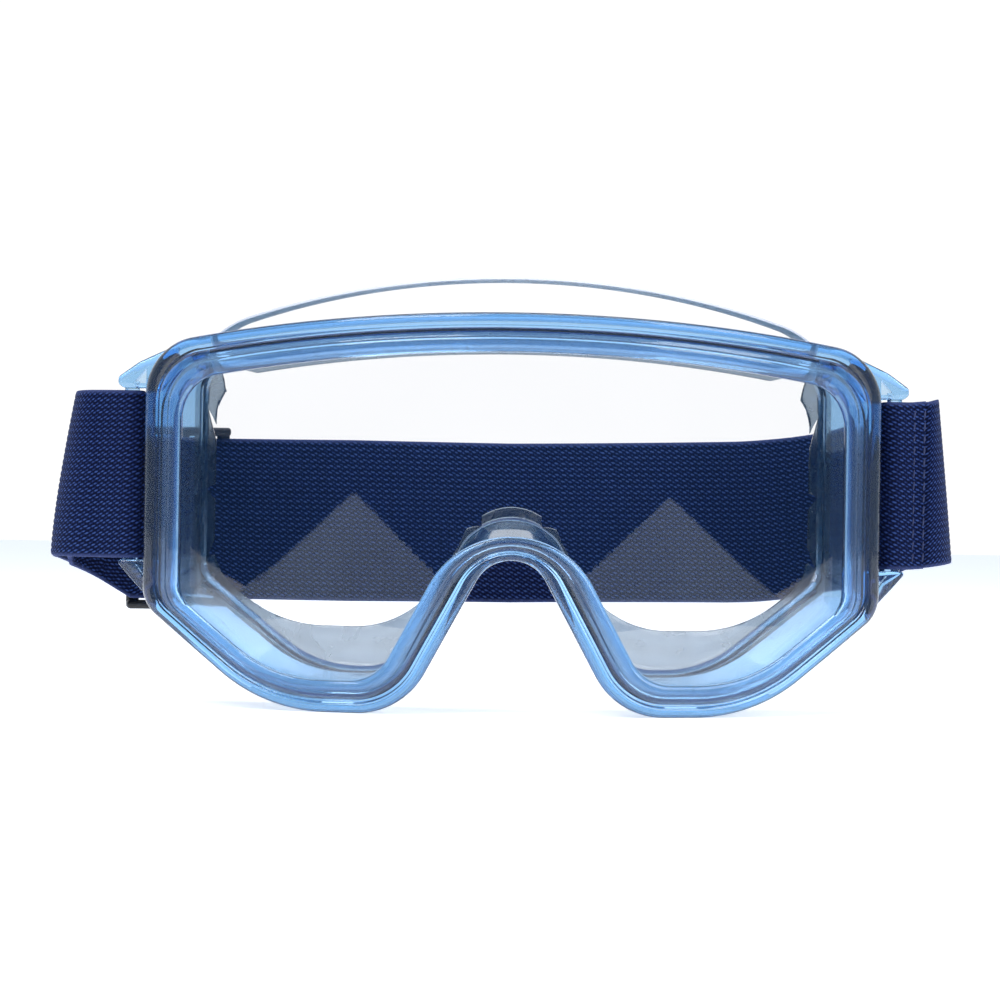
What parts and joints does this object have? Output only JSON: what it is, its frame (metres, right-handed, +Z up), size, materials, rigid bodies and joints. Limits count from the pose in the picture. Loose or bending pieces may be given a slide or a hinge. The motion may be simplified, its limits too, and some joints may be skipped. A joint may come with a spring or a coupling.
{
  "type": "safety goggles",
  "caption": "Indirect-vent safety goggles with a soft clear-blue frame, curved clear lens, clear vent shield and elastic headband with slider.",
  "frame": {"origin": "on the surface that the two cheek lobes stand on, under the middle of the goggles and headband", "axes": "+Z up as worn, -Y the way the wearer looks out through the lens, +X the viewer's right from in front"},
  "size_m": [0.2104, 0.0846, 0.0952],
  "materials": {
    "frame_pvc": "soft translucent pale blue, glossy",
    "seal_pvc": "soft translucent pale blue-grey, satin",
    "lens_clear": "clear polished polycarbonate",
    "shield_clear": "clear thin sheet",
    "strap_webbing": "ribbed navy elastic webbing",
    "thread": "black polyester thread",
    "slider_black": "black acetal, satin"
  },
  "bodies": {
    "frame": {"front_rim": "frame_pvc", "brow_wall": "frame_pvc", "left_side_wall": "frame_pvc", "right_side_wall": "frame_pvc", "nose_wall": "frame_pvc", "face_flange": "seal_pvc", "nose_flap": "seal_pvc", "left_strap_ears": "frame_pvc", "right_strap_ears": "frame_pvc", "left_strap_bar": "frame_pvc", "right_strap_bar": "frame_pvc", "lens": "lens_clear", "left_strap_loop": "strap_webbing", "right_strap_loop": "strap_webbing", "right_sewn_tail": "strap_webbing", "right_stitching": "thread"},
    "vent_cover": {"vent_shield": "shield_clear"},
    "headband": {"left_fold": "strap_webbing", "right_fold": "strap_webbing", "back_strap": "strap_webbing", "return_strap": "strap_webbing"},
    "slider_body": {"slider": "slider_black", "slider_hem": "strap_webbing", "hem_stitching": "thread"}
  },
  "joints": [
    {"name": "headband_tilt", "type": "hinge", "parent": "frame", "child": "headband", "pos_m": [0, 0.01848, 0.046], "axis": [1, 0, 0], "range_deg": [-12, 22]},
    {"name": "slider_slide", "type": "slide", "parent": "headband", "child": "slider_body", "axis": [0.9903, 0.1392, 0], "range_m": [0, 0.03]},
    {"name": "vent_shield_lift", "type": "slide", "parent": "frame", "child": "vent_cover", "axis": [0, 0, 1], "range_m": [0, 0.015]}
  ]
}
